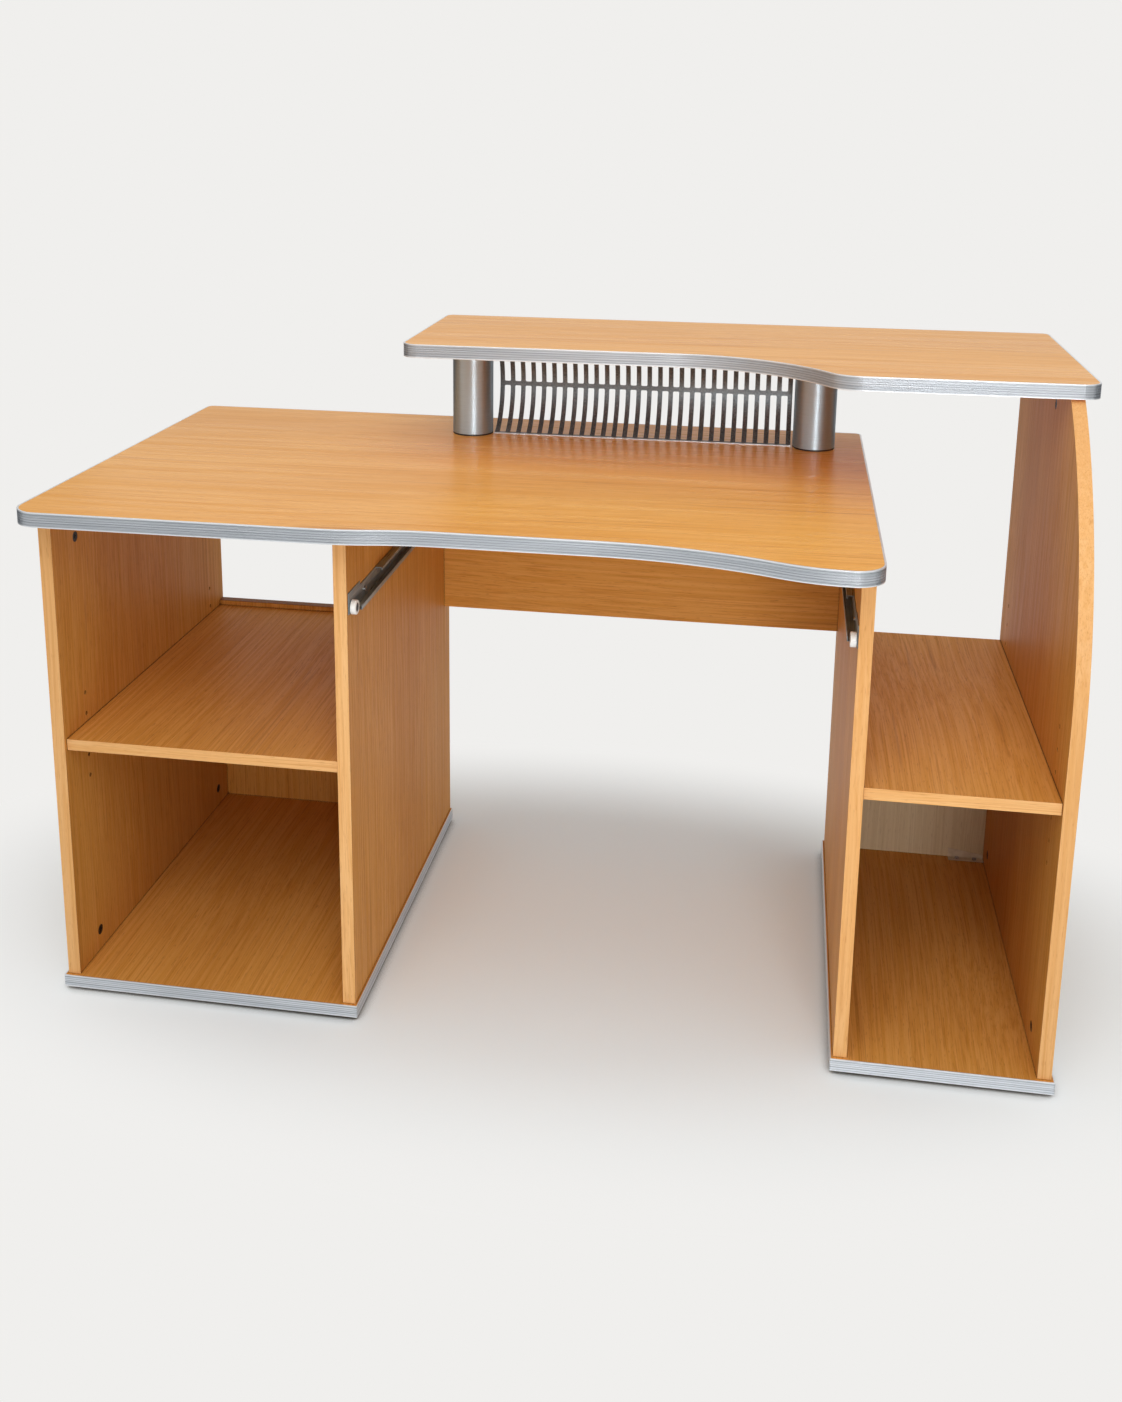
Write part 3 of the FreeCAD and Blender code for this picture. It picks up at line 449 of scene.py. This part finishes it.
def makeFloor():
    radius, sides = studio["floorRadius"], studio["floorSides"]
    corners = []
    for step in range(sides):
        turn = 2 * math.pi * step / sides
        corners.append((radius * math.cos(turn), radius * math.sin(turn), 0.0))
    mesh = bpy.data.meshes.new("floor")
    mesh.from_pydata(corners, [], [list(range(sides))])
    floor = bpy.data.objects.new("floor", mesh)
    bpy.context.scene.collection.objects.link(floor)

    material, tree, shader = startMaterial("studioFloor")
    # painted contact shadow, darker where ambient occlusion finds the desk close
    clear = remap(tree, openness(tree, studio["contactReach"]), *studio["contactRange"])
    tree.links.new(blendColour(tree, clear, studio["contactShade"], studio["floor"]), shader.inputs["Base Color"])
    shader.inputs["Roughness"].default_value = studio["floorRough"]
    shader.inputs["Specular IOR Level"].default_value = studio["floorShine"]
    glow = tree.nodes.new("ShaderNodeEmission")
    glow.inputs["Color"].default_value = studio["background"]
    distance = tree.nodes.new("ShaderNodeVectorMath")
    distance.operation = "DISTANCE"
    feed(tree, distance.inputs[0], vectorMaths(tree, "MULTIPLY", objectPlace(tree), studio["fadeStretch"]))
    feed(tree, distance.inputs[1], studio["fadeCentre"])
    far = remap(tree, distance.outputs["Value"], studio["fadeStart"], studio["fadeEnd"])
    far = maths(tree, "MULTIPLY", far, clear)       # the painted contact shadow stays
    far = maths(tree, "MULTIPLY", far, seenDirectly(tree))      # the glow lights nothing
    joined = tree.nodes.new("ShaderNodeMixShader")
    tree.links.new(far, joined.inputs["Fac"])
    tree.links.new(shader.outputs["BSDF"], joined.inputs[1])
    tree.links.new(glow.outputs["Emission"], joined.inputs[2])
    output = next(node for node in tree.nodes if node.type == "OUTPUT_MATERIAL")
    tree.links.new(joined.outputs["Shader"], output.inputs["Surface"])
    mesh.materials.append(material)


def makeDome():
    world = bpy.data.worlds.new("studioDome")
    bpy.context.scene.world = world
    world.use_nodes = True
    tree = world.node_tree
    tree.nodes.clear()
    output = tree.nodes.new("ShaderNodeOutputWorld")
    seen = tree.nodes.new("ShaderNodeBackground")
    seen.inputs["Color"].default_value = studio["background"]
    lighting = tree.nodes.new("ShaderNodeBackground")
    lighting.inputs["Color"].default_value = studio["domeColour"]
    lighting.inputs["Strength"].default_value = studio["domeStrength"]
    joined = tree.nodes.new("ShaderNodeMixShader")
    tree.links.new(seenDirectly(tree), joined.inputs["Fac"])
    tree.links.new(lighting.outputs["Background"], joined.inputs[1])
    tree.links.new(seen.outputs["Background"], joined.inputs[2])
    tree.links.new(joined.outputs["Shader"], output.inputs["Surface"])


softboxes = {
    "overheadBox": {"place": (0.15, -0.7, 3.2), "aim": (0.1, 0.0, 0.6), "size": (2.6, 2.2), "watts": 20.0,
                    "spread": 180.0},
    "frontBox": {"place": (0.1, -2.3, 2.5), "aim": (0.1, 0.0, 0.5), "size": (2.2, 1.4), "watts": 29.0,
                 "spread": 180.0},
    "lowBox": {"place": (0.8, -3.2, 0.9), "aim": (0.15, 0.0, 0.5), "size": (0.9, 0.7), "watts": 1.8,
               "spread": 40.0},        # behind a grid, so it reaches the kneehole and little else
}


def makeSoftbox(name, look):
    light = bpy.data.lights.new(name, "AREA")
    light.shape = "RECTANGLE"
    light.size, light.size_y = look["size"]
    light.energy = look["watts"]
    light.spread = math.radians(look["spread"])
    lamp = bpy.data.objects.new(name, light)
    bpy.context.scene.collection.objects.link(lamp)
    lamp.location = look["place"]
    heading = Vector(look["aim"]) - Vector(look["place"])
    lamp.rotation_euler = heading.to_track_quat("-Z", "Y").to_euler()
    lamp.visible_camera = False


flags = {
    "leftFlag": (-1.7, 0.75, 0.62),
    "rightFlag": (1.9, 0.75, 0.62),
    "flagSize": (0.02, 2.3, 1.2),
    "flagTone": (0.012, 0.012, 0.013, 1.0), "flagRough": 0.9,
}


def makeFlag(name):     # black studio board beside the desk, which only shiny things see
    material, tree, shader = startMaterial(name)
    shader.inputs["Base Color"].default_value = flags["flagTone"]
    shader.inputs["Roughness"].default_value = flags["flagRough"]
    bpy.ops.mesh.primitive_cube_add(size=1.0, location=flags[name])
    board = bpy.context.object
    board.name = name
    board.scale = flags["flagSize"]
    board.data.materials.append(material)
    board.visible_camera = False
    board.visible_diffuse = False
    board.visible_shadow = False
    board.visible_transmission = False


makeFloor()
makeDome()
makeFlag("leftFlag")
makeFlag("rightFlag")
for name, look in softboxes.items():
    makeSoftbox(name, look)
print("studio ready")


# Camera at the photograph's viewing angle

viewpoint = {
    "place": (0.2872, -2.0717, 1.2686),
    "turn": (76.603, -0.439, 9.724),        # degrees about X, Y, Z
    "lens": 48.106, "sensor": 36.0,
    "shift": (0.0276, -0.2189),
}


def makeCamera():
    camera = bpy.data.objects.new("camera", bpy.data.cameras.new("camera"))
    bpy.context.scene.collection.objects.link(camera)
    camera.location = viewpoint["place"]
    camera.rotation_euler = Euler([math.radians(degrees) for degrees in viewpoint["turn"]], "XYZ")
    camera.data.sensor_fit = "HORIZONTAL"
    camera.data.sensor_width = viewpoint["sensor"]
    camera.data.lens = viewpoint["lens"]
    camera.data.shift_x, camera.data.shift_y = viewpoint["shift"]
    camera.data.dof.use_dof = False
    bpy.context.scene.camera = camera


makeCamera()
bpy.context.scene.view_settings.view_transform = "Standard"
print("camera ready")
